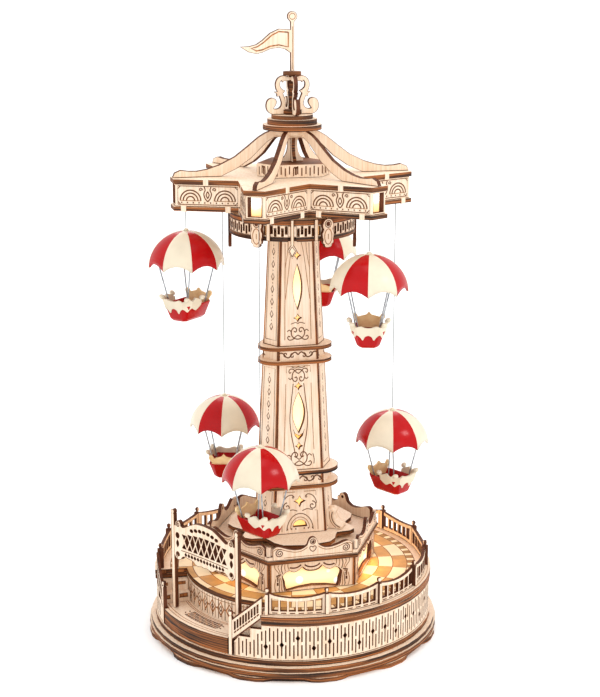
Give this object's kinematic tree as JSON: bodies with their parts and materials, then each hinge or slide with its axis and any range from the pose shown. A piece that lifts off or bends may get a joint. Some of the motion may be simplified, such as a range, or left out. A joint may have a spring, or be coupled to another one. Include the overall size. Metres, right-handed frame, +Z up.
{
  "type": "parachute drop tower",
  "caption": "Desk-top model of a parachute drop tower in laser-cut plywood: railed round base with gate and booth, tapered column, star roof and hanging canopies with baskets.",
  "frame": {"origin": "on the tower's vertical axis, at the level the base rests on", "axes": "+Z is up, -Y is the front, and the entrance gate faces between -X and -Y"},
  "size_m": [0.1778, 0.1778, 0.3713],
  "materials": {
    "plywood": "bare laser-cut sheet with burnt edges",
    "dark_plywood": "stained dark",
    "frosted_film": "frosted, lit from behind",
    "red_plastic": "glossy moulded",
    "cord": "thin white thread"
  },
  "bodies": {
    "tower": {"balustrade_front": "plywood", "balustrade_left": "plywood", "balustrade_rear": "plywood", "balustrade_right": "plywood", "base_feet_plate": "dark_plywood", "base_lower_plate": "plywood", "base_middle_plate": "plywood", "base_upper_plate": "plywood", "booth_fascia": "plywood", "booth_ledge": "plywood", "booth_roof_plate": "plywood", "booth_walls": "plywood", "booth_window_liner": "frosted_film", "column_lower_band": "plywood", "column_lower_storey": "plywood", "column_middle_storey": "plywood", "column_upper_band": "plywood", "column_upper_storey": "plywood", "crown_discs": "plywood", "deck_lower_plate": "plywood", "deck_plate": "plywood", "entrance_sign": "plywood", "entry_landing": "plywood", "entry_stair_left": "plywood", "entry_stair_right": "plywood", "entry_wall": "plywood", "flag_pole": "plywood", "gallery_floor": "plywood", "gallery_panels": "plywood", "gallery_roof": "plywood", "roof_drum": "plywood", "roof_pedestal": "plywood", "roof_ribs": "plywood", "scroll_finial": "plywood", "skirt_wall": "plywood", "stair_rail_left": "plywood", "stair_rail_right": "plywood", "star_floor": "plywood", "star_roof_plate": "plywood", "star_walls": "plywood", "star_window_film": "frosted_film"},
    "left_parachute": {"left_canopy": "red_plastic", "left_basket": "red_plastic", "left_cord": "cord"},
    "front_left_parachute": {"front_left_canopy": "red_plastic", "front_left_basket": "red_plastic", "front_left_cord": "cord"},
    "front_right_parachute": {"front_right_canopy": "red_plastic", "front_right_basket": "red_plastic", "front_right_cord": "cord"},
    "right_parachute": {"right_canopy": "red_plastic", "right_basket": "red_plastic", "right_cord": "cord"},
    "rear_right_parachute": {"rear_right_canopy": "red_plastic", "rear_right_basket": "red_plastic", "rear_right_cord": "cord"},
    "rear_left_parachute": {"rear_left_canopy": "red_plastic", "rear_left_basket": "red_plastic", "rear_left_cord": "cord"}
  },
  "joints": [
    {"name": "left_drop", "type": "slide", "parent": "tower", "child": "left_parachute", "axis": [0, 0, 1], "range_m": [-0.105, 0], "deforming": ["left_cord"]},
    {"name": "front_left_drop", "type": "slide", "parent": "tower", "child": "front_left_parachute", "axis": [0, 0, 1], "range_m": [0, 0.105], "deforming": ["front_left_cord"]},
    {"name": "front_right_drop", "type": "slide", "parent": "tower", "child": "front_right_parachute", "axis": [0, 0, 1], "range_m": [-0.105, 0], "deforming": ["front_right_cord"]},
    {"name": "right_drop", "type": "slide", "parent": "tower", "child": "right_parachute", "axis": [0, 0, 1], "range_m": [0, 0.105], "deforming": ["right_cord"]},
    {"name": "rear_right_drop", "type": "slide", "parent": "tower", "child": "rear_right_parachute", "axis": [0, 0, 1], "range_m": [-0.105, 0], "deforming": ["rear_right_cord"]},
    {"name": "rear_left_drop", "type": "slide", "parent": "tower", "child": "rear_left_parachute", "axis": [0, 0, 1], "range_m": [0, 0.105], "deforming": ["rear_left_cord"]}
  ],
  "couplings": [
    {"joint": "left_drop", "follows": "front_left_drop", "ratio": -1},
    {"joint": "front_right_drop", "follows": "front_left_drop", "ratio": -1},
    {"joint": "right_drop", "follows": "front_left_drop", "ratio": 1},
    {"joint": "rear_right_drop", "follows": "front_left_drop", "ratio": -1},
    {"joint": "rear_left_drop", "follows": "front_left_drop", "ratio": 1}
  ]
}
